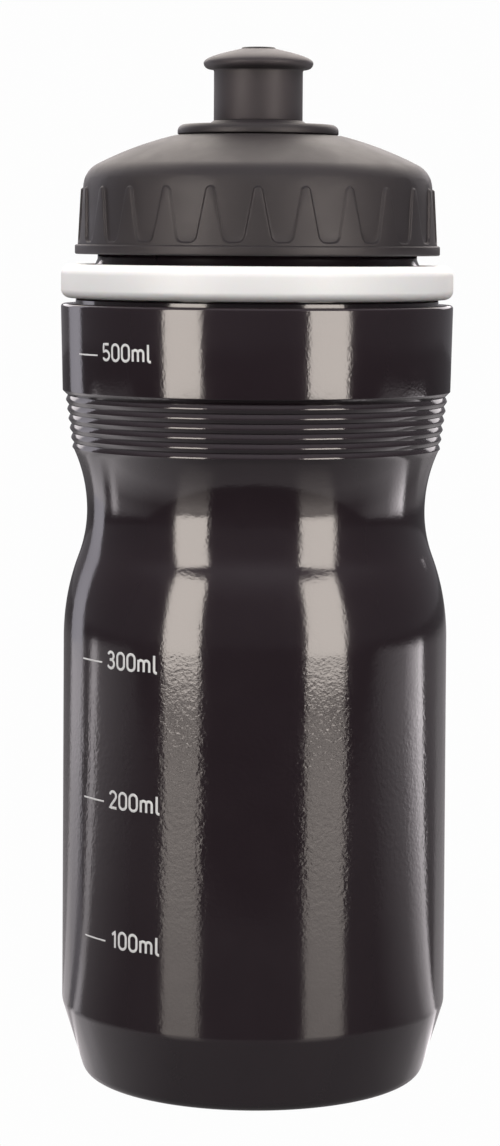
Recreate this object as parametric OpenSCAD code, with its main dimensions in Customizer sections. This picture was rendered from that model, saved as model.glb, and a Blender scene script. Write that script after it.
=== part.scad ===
// Sports squeeze bottle with a screw cap and a push-pull spout.
// Millimetres, +Z up, origin on the base plane at the bottle's axis. Rest pose: cap tight, spout closed.

/* [Bottle] */
// Radius of the lower body, which sits in a bottle cage
body_r = 36.7; // [36.2:0.1:37]
// Height at which the lower body starts to draw in to the waist
waist_start_z = 84; // [82:0.5:86]
// Radius at the narrowest point of the waist
waist_r = 32.35; // [31.8:0.05:33]
// Height of the narrowest point of the waist
waist_z = 108; // [107.5:0.1:108.5]
// Radius of the upper band at the shoulder
shoulder_r = 37.5; // [37.2:0.1:38]
// Height of the shoulder ledge
shoulder_z = 147.5; // [146.5:0.1:147.7]
// Thickness of the blown wall
wall = 1.0; // [0.8:0.1:1.2]
// Height that the base is pushed up in its middle
push_up = 4; // [3:0.5:5]

/* [Ribs] */
// Number of ribs above the waist
rib_count = 6; // [4:1:6]
// Spacing of the ribs
rib_pitch = 1.81; // [1.7:0.01:1.83]
// Depth of the sharp grooves between the ribs
rib_depth = 0.5; // [0.3:0.05:0.6]

/* [Neck] */
// Outside radius of the neck where it shows
neck_r = 30.8; // [30.7:0.05:30.9]
// Outside radius of the neck between its threads
thread_root_r = 30.3; // [30.2:0.05:30.4]
// Radius of the neck thread's crest
thread_crest_r = 31.6; // [31.3:0.05:31.7]
// Rise of the thread in one turn
lead = 4.5; // [4.3:0.1:4.6]
// Height of the neck's rim
rim_z = 170.15; // [170:0.05:170.15]

/* [Cap] */
// Radius of the flange at the foot of the cap
flange_r = 34.9; // [34.7:0.1:35.5]
// Height of the underside of the cap
cap_z = 156.9; // [156.5:0.1:157.2]
// Number of raised grip pads round the cap
pad_count = 24; // [18:1:26]
// How far the grip pads stand out
pad_rise = 0.45; // [0.3:0.05:0.6]

/* [Spout] */
// How far the spout pulls up
spout_travel = 6; // [4:0.5:6]
// Outside radius of the spout's stem
stem_r = 8.5; // [8.4:0.05:9]
// Radius of the spout's mushroom lip
lip_r = 10.5; // [10:0.1:11.5]
// Radius of the finger disc at the foot of the spout
disc_r = 15.4; // [14:0.1:15.6]
// Radius of the plug head in the exit hole
plug_r = 3.4; // [3:0.05:3.6]

/* [Hidden] */
$fn = 96;

POLYMER_BLACK = "#2b2628";
CAP_BLACK = "#3a3537";
BAND_WHITE = "#eeeeea";
SEAL_GREY = "#8f9291";

ARC_STEPS = 8;

// Base of the bottle
base_edge_z = 14.8;          // where the straight wall ends
base_edge_round = 4;         // radius that rounds the wall into the taper
base_taper = 16.8;           // angle of the taper from upright
base_corner = 2.6;           // radius of the corner at the foot
foot_in_r = 26.5;            // inner edge of the flat foot ring

// Waist: two arcs that meet where the wall is steepest, and a third above the narrowest point
waist_low_round = 24.5;      // radius of the waist below its narrowest point
waist_out_angle = 2 * atan((body_r - waist_r) / (waist_z - waist_start_z));  // steepest slope
waist_out_round = (waist_z - waist_start_z) / sin(waist_out_angle) - waist_low_round;  // of the wall's turn in
waist_up_round = 28;         // and above it
waist_up_angle = 24.5;       // slope at which the waist meets the ribs

// Ribbed stretch and upper band
rib_top_z = 130;             // bottom of the highest groove
rib_top_r = 36.6;            // crest radius there
rib_slope = 0.14;            // crest radius lost per millimetre downwards
rib_steps = 6;               // points along one rib
rib_power = 1.3;             // 1 makes the ribs plain zigzags, and more rounds their crests
band_low_r = 37.1;
band_low_z = 130.85;
edge_round = 0.6;
pedestal_r = 34.7;           // the step that the white band stands on
pedestal_z = 148.4;
neck_wall = 1.0;
shoulder_inner_round = 3;

// Band on the neck
band_clear = 0.3;            // running clearance on the neck
band_gap = 0.15;             // clearance above the step
band_top_z = 155;
band_wall = 1.5;
band_round_top = 2.0;
band_round_low = 1.7;

// Threads
thread_w_root = 1.9;
thread_w_crest = 0.8;
thread_step = 18;            // degrees in each arc of a thread
thread_overlap = 1;          // degrees by which an arc runs into the next
thread_fade_steps = 3;       // arcs over which each end of a thread runs out
thread_start = 7;            // angle at which the threads start
neck_thread_z = 160.2;       // middle of the neck thread's lower end
neck_thread_turns = 1.75;
cap_bore_r = 32.05;
cap_thread_crest_r = 30.85;
cap_thread_turns = 1.6;

// Cap
dome_r = 66.6;               // radius of the domed top
dome_z = 115;                // height of that dome's centre
cap_wall = 1.6;
skirt_top_r = 33.35;
skirt_low_r = 33.9;
cap_shoulder = 5;            // radius between dome and skirt
flange_t = 1.85;
seat_z = 179.6;              // flat seat under the spout's disc
land_z = 171.65;             // seat for the gasket
gasket_in_r = 27.6;
gasket_out_r = 31.75;
gasket_gap = 0.05;
pad_top_z = 169.3;
pad_low_z = 158.9;
pad_top_half = 1.05;         // half the width of a pad at its top
pad_low_half = 2.35;         // half the width of a pad at its foot

// Spout core: finger disc, collar and the tube that slides on the chimney
core_bore_r = 7.05;
core_r = 7.75;
core_stop_r = 6.38;          // bead at the core's foot that stops the pull
core_stop_h = 1.5;
core_top_z = 190.6;
disc_low_z = 179.8;
disc_top_z = 181.75;
disc_round = 1.1;
collar_z = 182.5;
collar_flare = 0.9;

// Chimney on the cap: the bead at its top holds the seal and stops the core
chimney_r = 6.3;
chimney_in_r = 5.2;
bead_r = 6.97;
bead_lip = 0.8;              // height of the bead on each side of the seal's groove
stop_gap = 0.3;              // what is left between the core's bead and this one at full pull
bead_low_z = disc_low_z + core_stop_h + spout_travel + stop_gap;
groove_h = 1.4;
groove_r = 5.8;
groove_low_z = bead_low_z + bead_lip;
groove_top_z = groove_low_z + groove_h;
chimney_top_z = groove_top_z + bead_lip;
seal_ring_r = 6.4;
seal_wire_r = 0.57;

// Valve post inside the chimney
post_r = 2;
post_top_z = 196.5;
plug_low_z = 191.6;
plug_cone_h = 1.4;
sleeve_r = 5.15;
sleeve_in_r = 4.2;
sleeve_z = 176.6;
sleeve_h = 7;
sleeve_foot = 1.6;
sleeve_foot_h = 1.2;
spoke_count = 3;
spoke_w = 1.2;
spoke_h = 4;

// Mouthpiece over the core
hole_r = plug_r + 0.06;
lip_low_z = 192.3;
lip_z = 193.5;
mouth_top_z = 196.15;
crown_steps = 6;
crown_power = 2.2;           // 1 makes the crown round, and more makes it flatter towards the lip

// Points of an arc about c, from one angle to another.
function arc(c, r, from, to, n = ARC_STEPS) =
    [for (i = [0:n]) let (a = from + (to - from) * i / n) c + r * [cos(a), sin(a)]];

// Radius of the rib crests at a height.
function rib_env(z) = rib_top_r - rib_slope * (rib_top_z - z);

// Wall from the foot to the top of the waist, set in by t from the outside.
foot_r = body_r - (base_edge_z - base_corner) * tan(base_taper) - base_corner / cos(base_taper);
function lower_wall(t) = concat(
    arc([foot_r, base_corner], base_corner - t, -90, -base_taper),
    arc([body_r - base_edge_round, base_edge_z], base_edge_round - t, -base_taper, 0, 4),
    arc([body_r - waist_out_round, waist_start_z], waist_out_round - t, 0, waist_out_angle),
    arc([waist_r + waist_low_round, waist_z], waist_low_round + t, 179 + waist_out_angle, 180),
    arc([waist_r + waist_up_round, waist_z], waist_up_round + t, 179, 180 - waist_up_angle));

// The ribs, from the crest of the lowest up to the highest groove: narrow crests with sharp grooves.
rib_low_z = rib_top_z - (rib_count - 0.5) * rib_pitch;
function rib_wall() = [
    for (i = [0 : (rib_count - 0.5) * rib_steps])
        let (z = rib_low_z + i * rib_pitch / rib_steps)
        [rib_env(z) - rib_depth * pow(2 * abs(i / rib_steps - round(i / rib_steps)), rib_power), z]];

module body_outline() {
    base_round = (foot_in_r * foot_in_r + push_up * push_up) / (2 * push_up);
    base_angle = asin(foot_in_r / base_round);
    base_c = [0, push_up - base_round];
    polygon(concat(
        arc(base_c, base_round, 90, 90 - base_angle),
        lower_wall(0),
        rib_wall(),
        [[band_low_r, band_low_z]],
        arc([shoulder_r - edge_round, shoulder_z - edge_round], edge_round, 0, 90, 4),
        [[pedestal_r, shoulder_z], [pedestal_r, pedestal_z],
         [neck_r, pedestal_z], [neck_r, cap_z], [thread_root_r, cap_z + 0.5],
         [thread_root_r, rim_z - 0.3], [thread_root_r - 0.3, rim_z],
         [thread_root_r - neck_wall, rim_z],
         [thread_root_r - neck_wall, shoulder_z - wall]],
        arc([band_low_r - wall - shoulder_inner_round, shoulder_z - wall - shoulder_inner_round],
            shoulder_inner_round, 90, 0, 5),
        [[band_low_r - wall - 0.2, rib_top_z + 1]],
        reversed(lower_wall(wall)),
        arc(base_c, base_round + wall, 90 - base_angle, 90)));
}

function reversed(list) = [for (i = [len(list) - 1 : -1 : 0]) list[i]];

// A helical ridge of trapezoid section, built from short arcs that each sit a little higher.
// It stands on root_r, reaches crest_r, and runs out over its first and last arcs. The arcs overlap,
// and every other one is a hair lower, so that no two faces coincide.
module thread_ridge(root_r, crest_r, z, turns) {
    steps = round(turns * 360 / thread_step);
    for (i = [0 : steps - 1]) {
        fade = min(1, (i + 1) / thread_fade_steps, (steps - i) / thread_fade_steps);
        tip_r = root_r + (crest_r - root_r) * fade * (i % 2 == 0 ? 1 : 0.98);
        rotate(thread_start + i * thread_step)
            translate([0, 0, z + lead * i * thread_step / 360])
                rotate_extrude(angle = thread_step + thread_overlap)
                    polygon([[root_r, -thread_w_root / 2], [tip_r, -thread_w_crest / 2],
                             [tip_r, thread_w_crest / 2], [root_r, thread_w_root / 2]]);
    }
}

module bottle_body() {
    color(POLYMER_BLACK) {
        rotate_extrude() body_outline();
        thread_ridge(thread_root_r - 0.3, thread_crest_r, neck_thread_z, neck_thread_turns);
    }
}

// Loose ring round the neck: a channel, open below, whose inner wall stands on the step.
module neck_band() {
    in_r = neck_r + band_clear;
    low_z = pedestal_z + band_gap;
    color(BAND_WHITE)
        rotate_extrude()
            difference() {
                polygon(concat(
                    [[in_r, low_z]],
                    arc([shoulder_r - band_round_low, low_z + band_round_low], band_round_low, -90, 0, 6),
                    arc([shoulder_r - band_round_top, band_top_z - band_round_top], band_round_top, 0, 90, 6),
                    [[in_r, band_top_z]]));
                translate([in_r + band_wall, low_z - 1])
                    square([shoulder_r - in_r - 2 * band_wall, band_top_z - band_wall - low_z + 1]);
            }
}

module cap_outline() {
    knee = 90 - asin((skirt_top_r - cap_shoulder) / (dome_r - cap_shoulder));
    knee_c = [skirt_top_r - cap_shoulder,
              dome_z + sqrt(pow(dome_r - cap_shoulder, 2) - pow(skirt_top_r - cap_shoulder, 2))];
    dome_c = [0, dome_z];
    inner_r = dome_r - cap_wall - 0.4;
    lip_r_in = gasket_in_r - 0.9;
    polygon(concat(
        [[cap_bore_r, cap_z]],
        arc([flange_r - 0.5, cap_z + 0.5], 0.5, -90, 0, 3),
        arc([flange_r - 0.5, cap_z + flange_t - 0.5], 0.5, 0, 90, 3),
        [[skirt_low_r, cap_z + flange_t]],
        arc(knee_c, cap_shoulder, 0, knee),
        arc(dome_c, dome_r, knee, asin((seat_z - dome_z) / dome_r)),
        [[chimney_r, seat_z], [chimney_r, bead_low_z - 0.5], [bead_r, bead_low_z],
         [bead_r, groove_low_z], [groove_r, groove_low_z], [groove_r, groove_top_z],
         [bead_r, groove_top_z], [bead_r, chimney_top_z - 0.5], [bead_r - 0.5, chimney_top_z],
         [chimney_in_r, chimney_top_z], [chimney_in_r, dome_z + inner_r - 0.3]],
        arc(dome_c, inner_r, acos(chimney_in_r * 1.3 / inner_r), acos(lip_r_in / inner_r)),
        [[lip_r_in, land_z - 1], [gasket_in_r - 0.1, land_z - 1],
         [gasket_in_r - 0.1, land_z], [cap_bore_r, land_z]]));
}

// One raised grip pad: narrow and round at its top, spreading towards the flange.
module grip_pad() {
    intersection() {
        rotate_extrude()
            polygon([[skirt_low_r - 0.7, pad_low_z - 1], [skirt_low_r + pad_rise, pad_low_z - 1],
                     [skirt_top_r + pad_rise, pad_top_z + 0.1], [skirt_top_r - 0.7, pad_top_z + 0.1]]);
        rotate([90, 0, 0])
            linear_extrude(shoulder_r)
                union() {
                    translate([0, pad_top_z - pad_top_half]) circle(pad_top_half, $fn = 24);
                    polygon([[-pad_low_half, pad_low_z - 0.6], [pad_low_half, pad_low_z - 0.6],
                             [pad_top_half, pad_top_z - pad_top_half],
                             [-pad_top_half, pad_top_z - pad_top_half]]);
                }
    }
}

module screw_cap() {
    color(CAP_BLACK) {
        rotate_extrude() cap_outline();
        for (i = [0 : pad_count - 1])
            rotate(i * 360 / pad_count) grip_pad();
        thread_ridge(cap_bore_r + 0.3, cap_thread_crest_r,
                     neck_thread_z - lead / 2, cap_thread_turns);
    }
}

module cap_gasket() {
    color(SEAL_GREY)
        translate([0, 0, rim_z + gasket_gap])
            difference() {
                cylinder(r = gasket_out_r, h = land_z - rim_z - 2 * gasket_gap);
                translate([0, 0, -1]) cylinder(r = gasket_in_r, h = land_z - rim_z + 2);
            }
}

// Plug on a post, carried by spokes in a sleeve that fits up inside the chimney.
module valve_post() {
    color(CAP_BLACK) {
        rotate_extrude()
            polygon([[sleeve_in_r, sleeve_z], [sleeve_r + sleeve_foot, sleeve_z],
                     [sleeve_r + sleeve_foot, sleeve_z + sleeve_foot_h], [sleeve_r, sleeve_z + sleeve_foot_h],
                     [sleeve_r, sleeve_z + sleeve_h], [sleeve_in_r, sleeve_z + sleeve_h]]);
        rotate_extrude()
            polygon([[0, sleeve_z], [post_r, sleeve_z], [post_r, plug_low_z - plug_cone_h],
                     [plug_r, plug_low_z], [plug_r, post_top_z - 0.3], [plug_r - 0.3, post_top_z],
                     [0, post_top_z]]);
        for (i = [0 : spoke_count - 1])
            rotate(i * 360 / spoke_count)
                translate([post_r - 0.5, -spoke_w / 2, sleeve_z])
                    cube([sleeve_in_r - post_r + 1, spoke_w, spoke_h]);
    }
}

module spout_seal() {
    color(SEAL_GREY)
        translate([0, 0, (groove_low_z + groove_top_z) / 2])
            rotate_extrude()
                translate([seal_ring_r, 0]) circle(seal_wire_r, $fn = 32);
}

// Rigid inner part of the spout: finger disc, collar and the tube that slides on the chimney.
module spout_core() {
    color(CAP_BLACK)
        rotate_extrude()
            polygon(concat(
                [[core_stop_r, disc_low_z], [disc_r - 0.3, disc_low_z], [disc_r, disc_low_z + 0.3]],
                arc([disc_r - disc_round, disc_top_z - disc_round], disc_round, 0, 90, 5),
                [[stem_r + collar_flare, disc_top_z], [stem_r, collar_z], [core_r, collar_z],
                 [core_r, core_top_z - 0.4], [core_r - 0.4, core_top_z], [core_bore_r, core_top_z],
                 [core_bore_r, disc_low_z + core_stop_h],
                 [core_stop_r, disc_low_z + core_stop_h - 0.3]]));
}

// Soft outer part of the spout: stem sleeve and mushroom lip with the exit hole.
module spout_mouthpiece() {
    lip_round = lip_z - lip_low_z;
    crown_w = lip_r - hole_r - 0.3;
    color(CAP_BLACK)
        rotate_extrude()
            polygon(concat(
                [[core_r, collar_z], [stem_r, collar_z], [stem_r, lip_low_z - 0.3],
                 [stem_r + 0.3, lip_low_z]],
                arc([lip_r - lip_round, lip_z], lip_round, -90, 0, 5),
                [for (i = [1:crown_steps]) let (a = 90 * i / crown_steps)
                    [hole_r + 0.3 + crown_w * pow(cos(a), crown_power),
                     lip_z + (mouth_top_z - lip_z) * sin(a)]],
                [[hole_r, mouth_top_z - 0.3], [hole_r, lip_z - 0.2], [core_r - 1.2, core_top_z + 0.6],
                 [core_r - 0.4, core_top_z + 0.1], [core_r, core_top_z - 0.3]]));
}

bottle_body();
neck_band();
screw_cap();
cap_gasket();
valve_post();
spout_seal();
spout_core();
spout_mouthpiece();
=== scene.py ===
"""Looks of a sports squeeze bottle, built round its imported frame.

The bottle is blow-moulded in black polyethylene, with a loose white ring on its neck, a ribbed
screw cap and a push-pull spout. Sizes are in millimetres, and meshes are in metres, +Z up.
"""

import logging
import math
from dataclasses import dataclass
from enum import Enum

import bmesh
import bpy
from mathutils import Matrix, Vector

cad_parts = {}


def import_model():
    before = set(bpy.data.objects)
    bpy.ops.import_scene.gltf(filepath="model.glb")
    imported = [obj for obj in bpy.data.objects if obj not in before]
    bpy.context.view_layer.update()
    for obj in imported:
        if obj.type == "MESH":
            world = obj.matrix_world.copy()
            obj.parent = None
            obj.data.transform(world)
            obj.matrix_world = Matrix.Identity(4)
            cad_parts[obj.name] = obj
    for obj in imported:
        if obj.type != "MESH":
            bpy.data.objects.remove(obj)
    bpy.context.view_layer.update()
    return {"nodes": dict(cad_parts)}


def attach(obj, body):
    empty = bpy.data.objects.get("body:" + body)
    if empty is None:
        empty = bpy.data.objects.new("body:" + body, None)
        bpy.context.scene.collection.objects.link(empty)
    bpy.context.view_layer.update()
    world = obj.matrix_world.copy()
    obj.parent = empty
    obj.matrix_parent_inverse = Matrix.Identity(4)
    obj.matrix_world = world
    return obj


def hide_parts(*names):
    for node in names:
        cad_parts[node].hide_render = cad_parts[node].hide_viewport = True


LOG = logging.getLogger("bottle")

MM = 0.001
MERGE = 1e-7
CREASE = math.radians(32)
WHITE = (1, 1, 1, 1)
ROUND_AXIS = {"cent": (0, 0, 0), "axis": (0, 0, 1)}
THREAD_START_Z = 160.2
THREAD_LEAD = 4.5
THREAD_BURY = 0.3  # depth of a thread's root in the wall that carries it

Point = tuple[float, float]
Colour = tuple[float, float, float, float]
Tree = bpy.types.NodeTree
Node = bpy.types.Node
Socket = bpy.types.NodeSocket
Mesh = bmesh.types.BMesh
Material = bpy.types.Material


# -------- shared shapes


def arc(centre: Point, radius: float, start: float, end: float, steps: int) -> list[Point]:
    """Points of an arc in the plane of radius and height.

    Args:
        centre: middle of the arc, in millimetres.
        radius: its radius in millimetres.
        start: angle of the first point, in degrees from the outward direction.
        end: angle of the last point.
        steps: number of chords.

    Returns:
        steps + 1 points, in order.
    """
    angles = [math.radians(start + (end - start) * i / steps) for i in range(steps + 1)]
    return [(centre[0] + radius * math.cos(a), centre[1] + radius * math.sin(a)) for a in angles]


def along(a: Point, b: Point, share: float) -> Point:
    """The point that lies this share of the way from one point to another."""
    return a[0] + (b[0] - a[0]) * share, a[1] + (b[1] - a[1]) * share


def between(a: Point, b: Point, steps: int) -> list[Point]:
    """Points from one to another, both included, in equal steps."""
    return [along(a, b, i / steps) for i in range(steps + 1)]


def add_wire(bm: Mesh, outline: list[Point], closed: bool) -> list:
    """Adds an outline to a mesh as vertices and edges at angle zero.

    Args:
        bm: the mesh.
        outline: points of radius and height, in millimetres.
        closed: whether the last point joins the first.

    Returns:
        The new vertices, then the new edges.
    """
    verts = [bm.verts.new((r * MM, 0.0, z * MM)) for r, z in outline]
    pairs = list(zip(verts, verts[1:]))
    if closed:
        pairs.append((verts[-1], verts[0]))
    return verts + [bm.edges.new(pair) for pair in pairs]


def lathe(bm: Mesh, outline: list[Point], segments: int, closed: bool = True) -> None:
    """Turns an outline once round the axis.

    Args:
        bm: the mesh that it is added to.
        outline: points of radius and height, in millimetres.
        segments: number of steps round the axis.
        closed: True for a ring, False where both ends of the outline lie on the axis.
    """
    bmesh.ops.spin(
        bm,
        geom=add_wire(bm, outline, closed),
        angle=math.tau,
        steps=segments,
        use_merge=True,
        **ROUND_AXIS,
    )
    bmesh.ops.remove_doubles(bm, verts=bm.verts, dist=MERGE)


@dataclass(frozen=True)
class Thread:
    """A screw thread: a ridge that climbs round the neck or the cap's bore, in millimetres."""

    root_r: float
    crest_r: float
    start_z: float
    turns: float
    lead: float = THREAD_LEAD
    start_angle: float = 7.0
    root_width: float = 1.9
    crest_width: float = 0.8
    fade: float = 0.12  # turns over which each end runs out
    least_height: float = 0.05  # that is left at the very end, as a share
    steps_per_turn: int = 72

    def add(self, bm: Mesh) -> None:
        """Adds the ridge to a mesh as one closed strip."""
        ridge = bmesh.new()
        section = [
            (self.root_r, self.start_z - self.root_width / 2),
            (self.crest_r, self.start_z - self.crest_width / 2),
            (self.crest_r, self.start_z + self.crest_width / 2),
            (self.root_r, self.start_z + self.root_width / 2),
        ]
        wire = add_wire(ridge, section, closed=True)
        face = ridge.faces.new(wire[:4])
        steps = round(self.turns * self.steps_per_turn)
        rise = self.lead / self.steps_per_turn
        bmesh.ops.spin(
            ridge,
            geom=[face, *face.edges, *face.verts],
            dvec=(0, 0, rise * MM),
            angle=self.turns * math.tau,
            steps=steps,
            **ROUND_AXIS,
        )
        self._run_out(ridge)
        turn = Matrix.Rotation(math.radians(self.start_angle), 3, "Z")
        bmesh.ops.rotate(ridge, verts=ridge.verts, cent=(0, 0, 0), matrix=turn)
        bmesh.ops.recalc_face_normals(ridge, faces=ridge.faces)
        add_mesh(bm, ridge)

    def _run_out(self, ridge: Mesh) -> None:
        """Draws the crest in to the root over both ends of the ridge."""
        middle = (self.root_r + self.crest_r) / 2
        for vert in ridge.verts:
            radius = vert.co.xy.length / MM
            if abs(radius - self.crest_r) > abs(middle - self.crest_r):
                continue
            climbed = (vert.co.z / MM - self.start_z) / self.lead
            to_end = max(0.0, min(climbed, self.turns - climbed))
            share = math.sin(min(1.0, to_end / self.fade) * math.pi / 2)
            wanted = self.root_r + (self.crest_r - self.root_r) * max(share, self.least_height)
            vert.co.x *= wanted / radius
            vert.co.y *= wanted / radius


def add_mesh(bm: Mesh, extra: Mesh) -> None:
    """Adds one mesh's faces to another and frees it."""
    holder = bpy.data.meshes.new("holder")
    extra.to_mesh(holder)
    extra.free()
    bm.from_mesh(holder)
    bpy.data.meshes.remove(holder)


@dataclass(frozen=True)
class Ticket:
    """What a finished piece is called, what it rides on, and what it stands for."""

    name: str
    body: str
    slot: str
    nodes: tuple[str, ...] = ()


def link_object(name: str, data: bpy.types.ID) -> bpy.types.Object:
    """Makes an object of a mesh, a curve or a camera and adds it to the scene."""
    made = bpy.data.objects.new(name, data)
    bpy.context.scene.collection.objects.link(made)
    return made


def mesh_object(name: str, bm: Mesh, material: Material) -> bpy.types.Object:
    """Makes an object of a shape, which is freed, and gives it its material."""
    mesh = bpy.data.meshes.new(name)
    bm.to_mesh(mesh)
    bm.free()
    mesh.materials.append(material)
    return link_object(name, mesh)


def finish_piece(bm: Mesh, ticket: Ticket, material: Material) -> None:
    """Makes a mesh into a piece of the bottle.

    Args:
        bm: the shape, which is freed.
        ticket: the piece's name, body and the frame's nodes that it replaces; its slot is not read.
        material: its finish.
    """
    bmesh.ops.recalc_face_normals(bm, faces=bm.faces)
    piece = mesh_object(ticket.name, bm, material)
    piece.data.shade_smooth()
    piece.data.set_sharp_from_angle(angle=CREASE)
    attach(piece, ticket.body)
    if ticket.nodes:
        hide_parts(*ticket.nodes)
    LOG.info("%s: %d faces on %s", ticket.name, len(piece.data.polygons), ticket.body)


# -------- finishes


def srgb(code: str) -> Colour:
    """Turns an sRGB hex colour into the linear colour that a shader takes."""
    parts = [int(code[i : i + 2], 16) / 255 for i in (1, 3, 5)]
    linear = [c / 12.92 if c <= 0.04045 else ((c + 0.055) / 1.055) ** 2.4 for c in parts]
    return (*linear, 1.0)


def add_node(
    tree: Tree, kind: str, settings: dict | None = None, links: dict | None = None
) -> Node:
    """Adds a node to a tree.

    Args:
        tree: the node tree.
        kind: the node's type name, without the ShaderNode that it starts with.
        settings: values by input name or number, or by property name.
        links: what feeds each input, by its name or number: an output socket, or a node, whose
            first output is then meant.

    Returns:
        The new node.
    """
    node = tree.nodes.new(f"ShaderNode{kind}")
    for key, value in (settings or {}).items():
        if isinstance(key, int) or key in node.inputs:
            node.inputs[key].default_value = value
        else:
            setattr(node, key, value)
    for key, source in (links or {}).items():
        output = source.outputs[0] if isinstance(source, Node) else source
        tree.links.new(output, node.inputs[key])
    return node


def span(low: float, high: float, at_low: float = 0.0, at_high: float = 1.0) -> dict:
    """Settings that take the range from low to high on to the one from at_low to at_high."""
    return {"From Min": low, "From Max": high, "To Min": at_low, "To Max": at_high}


def new_tree(name: str) -> tuple[Material, Tree]:
    """Makes an empty node material and returns it with its tree."""
    material = bpy.data.materials.new(name)
    material.use_nodes = True
    material.node_tree.nodes.clear()
    return material, material.node_tree


def size_scale(size_mm: float) -> float:
    """Scale of a noise whose features are this many millimetres across, on Object coordinates."""
    return 1 / (size_mm * MM)


@dataclass(frozen=True)
class Relief:
    """A layer of bumps: their width and depth in millimetres, and the character of their noise."""

    width: float
    depth: float
    detail: float = 1.0
    roughness: float = 0.5

    def add(
        self, tree: Tree, place: Node | Socket, below: Node | None = None, share: Node | None = None
    ) -> Node:
        """Adds the layer to a material.

        Args:
            tree: the material's node tree.
            place: the coordinates that the noise follows.
            below: the layer that this one lies on.
            share: how much of the layer shows, 0 to 1.

        Returns:
            The layer's bump node.
        """
        noise = {"Scale": size_scale(self.width), "Detail": self.detail, "Roughness": self.roughness}
        height = add_node(tree, "TexNoise", noise, {"Vector": place})
        if share:
            height = add_node(tree, "Math", {"operation": "MULTIPLY"}, {0: height, 1: share})
        links = {"Height": height, "Normal": below} if below else {"Height": height}
        return add_node(tree, "Bump", {"Strength": 1.0, "Distance": self.depth * MM}, links)


@dataclass(frozen=True)
class Plastic:
    """A moulded plastic: a base colour that varies a little, with a wavy and a grained surface."""

    name: str
    colours: tuple[str, str]  # tones between which the colour drifts
    roughness: tuple[float, float]  # smoothest and roughest patches
    ior: float
    wave_mm: Point  # width and depth of the soft unevenness that a cooling wall takes
    grain_mm: Point  # width and depth of the mould's texture
    patch_mm: float = 9.0  # width of the patches of colour and roughness
    patch_spread: tuple[float, float] = (0.35, 0.65)  # values between which their noise mostly lies
    sheen: float = 0.0
    subsurface: float = 0.0

    def make(self) -> Material:
        """Builds the material."""
        material, tree = new_tree(self.name)
        place = add_node(tree, "TexCoord").outputs["Object"]
        noise = {"Scale": size_scale(self.patch_mm), "Detail": 3.0, "Roughness": 0.6}
        patches = add_node(tree, "TexNoise", noise, {"Vector": place})
        tones = {"data_type": "RGBA", 6: srgb(self.colours[0]), 7: srgb(self.colours[1])}
        rough = span(*self.patch_spread, *self.roughness)
        shader = add_node(
            tree,
            "BsdfPrincipled",
            {
                "IOR": self.ior,
                "Sheen Weight": self.sheen,
                "Subsurface Weight": self.subsurface,
                "Subsurface Scale": MM,
            },
            {
                "Base Color": add_node(tree, "Mix", tones, {0: patches}).outputs[2],
                "Roughness": add_node(tree, "MapRange", rough, {"Value": patches}),
                "Normal": self.surface(tree, place),
            },
        )
        add_node(tree, "OutputMaterial", None, {"Surface": shader})
        return material

    def surface(self, tree: Tree, place: Socket) -> Node:
        """Adds the wave, with the grain over it."""
        wave = Relief(*self.wave_mm).add(tree, place)
        return Relief(*self.grain_mm, detail=2.0, roughness=0.55).add(tree, place, wave)


@dataclass(frozen=True)
class BlownPolyethylene(Plastic):
    """Glossy blow-moulded wall: faint upright die lines, and a coarser skin low on the body."""

    coarse_low_z: float = 22.0  # millimetres between which the skin is coarsest
    coarse_high_z: float = 90.0
    coarse_mm: Point = (0.85, 0.034)
    coarse_full: float = 0.2  # share of that stretch over which it doesn't fade
    die_line_mm: Point = (1.1, 0.0022)
    die_line_squeeze: float = 0.02  # of the noise's height, which draws it out into upright lines

    def surface(self, tree: Tree, place: Socket) -> Node:
        """Adds the die lines and the coarse skin to the plain surface's bumps."""
        plain = super().surface(tree, place)
        squeeze = {"Scale": (1.0, 1.0, self.die_line_squeeze)}
        upright = add_node(tree, "Mapping", squeeze, {"Vector": place})
        lined = Relief(*self.die_line_mm).add(tree, upright, plain)
        skin = Relief(*self.coarse_mm, detail=2.0)
        return skin.add(tree, place, lined, self.coarse_share(tree, place))

    def coarse_share(self, tree: Tree, place: Socket) -> Node:
        """Adds how much of the coarse skin shows, which falls off above and below its middle."""
        height = add_node(tree, "SeparateXYZ", None, {"Vector": place}).outputs["Z"]
        middle = (self.coarse_low_z + self.coarse_high_z) / 2 * MM
        reach = (self.coarse_high_z - self.coarse_low_z) / 2 * MM
        offset = add_node(tree, "Math", {"operation": "SUBTRACT", 1: middle}, {0: height})
        away = add_node(tree, "Math", {"operation": "ABSOLUTE"}, {0: offset})
        fade = {"interpolation_type": "SMOOTHSTEP"} | span(reach, reach * self.coarse_full)
        return add_node(tree, "MapRange", fade, {"Value": away})


# Low-density polyethylene, blow-moulded against a polished mould: deep black and glossy, with
# the slight orange peel of a wall that shrinks as it cools, so reflections waver at their edges.
BODY_POLYETHYLENE = BlownPolyethylene(
    name="blown_polyethylene_black",
    colours=("#271e22", "#2c2327"),
    roughness=(0.08, 0.11),
    ior=1.54,
    wave_mm=(5.0, 0.02),
    grain_mm=(0.55, 0.012),
)

# Polypropylene, injection-moulded in a spark-eroded mould: an even matt black with a fine grain
# that spreads highlights wide.
CAP_POLYPROPYLENE = Plastic(
    name="moulded_polypropylene_black",
    colours=("#241f21", "#2a2527"),
    roughness=(0.48, 0.56),
    ior=1.43,
    wave_mm=(6.0, 0.02),
    grain_mm=(0.28, 0.016),
)

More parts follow.
